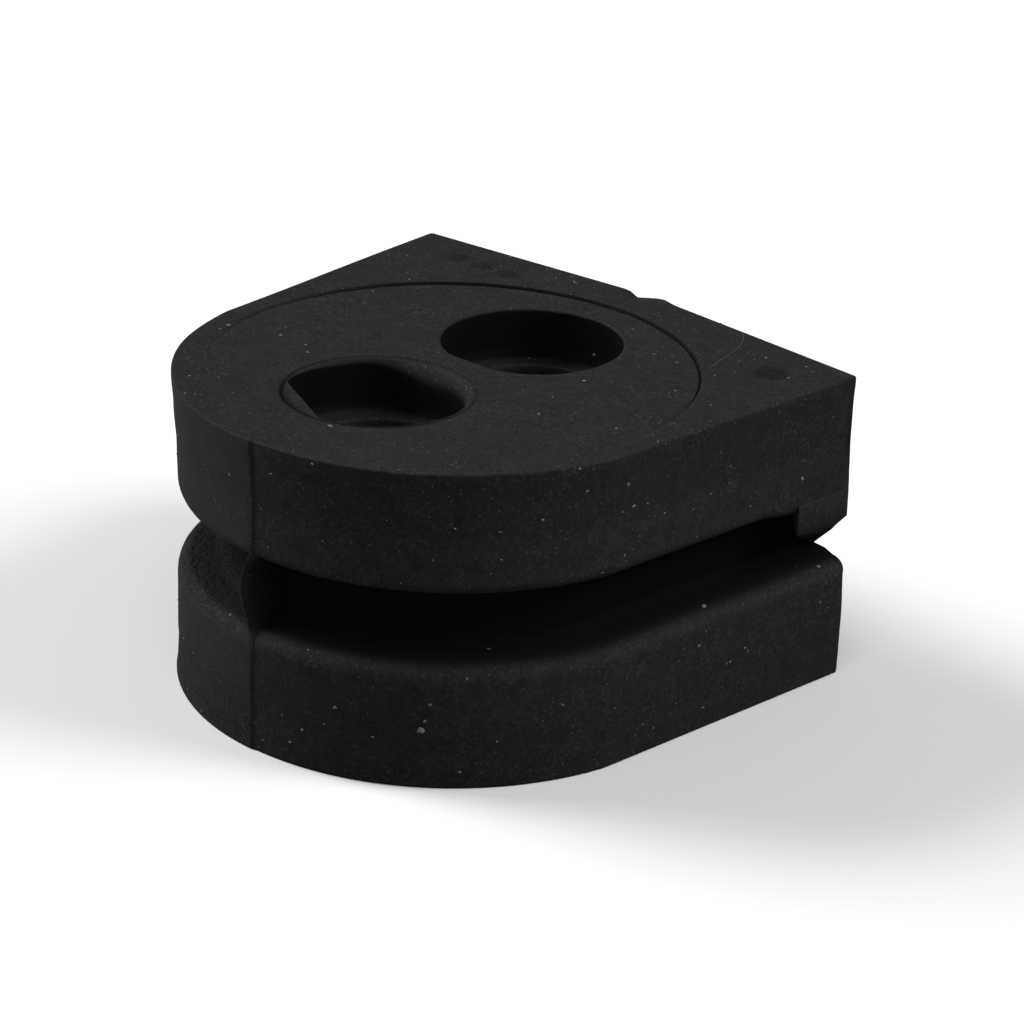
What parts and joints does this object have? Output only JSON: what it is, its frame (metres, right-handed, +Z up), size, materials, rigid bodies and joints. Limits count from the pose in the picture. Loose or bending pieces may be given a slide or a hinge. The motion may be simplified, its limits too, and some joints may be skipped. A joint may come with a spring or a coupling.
{
  "type": "rubber grommet",
  "caption": "Moulded black rubber cable grommet with a flat back and a round nose, a groove for a slotted panel wall, and stepped cable holes.",
  "frame": {"origin": "under the middle of the body, on its bottom face", "axes": "+Z up along the cable holes, +X across the flat back, +Y to the flat back; the round nose points to -Y"},
  "size_m": [0.02, 0.0196, 0.0111],
  "materials": {
    "rubber": "moulded black rubber, matt, with a light bloom and dust"
  },
  "bodies": {
    "root": {"grommet_body": "rubber"}
  },
  "joints": []
}
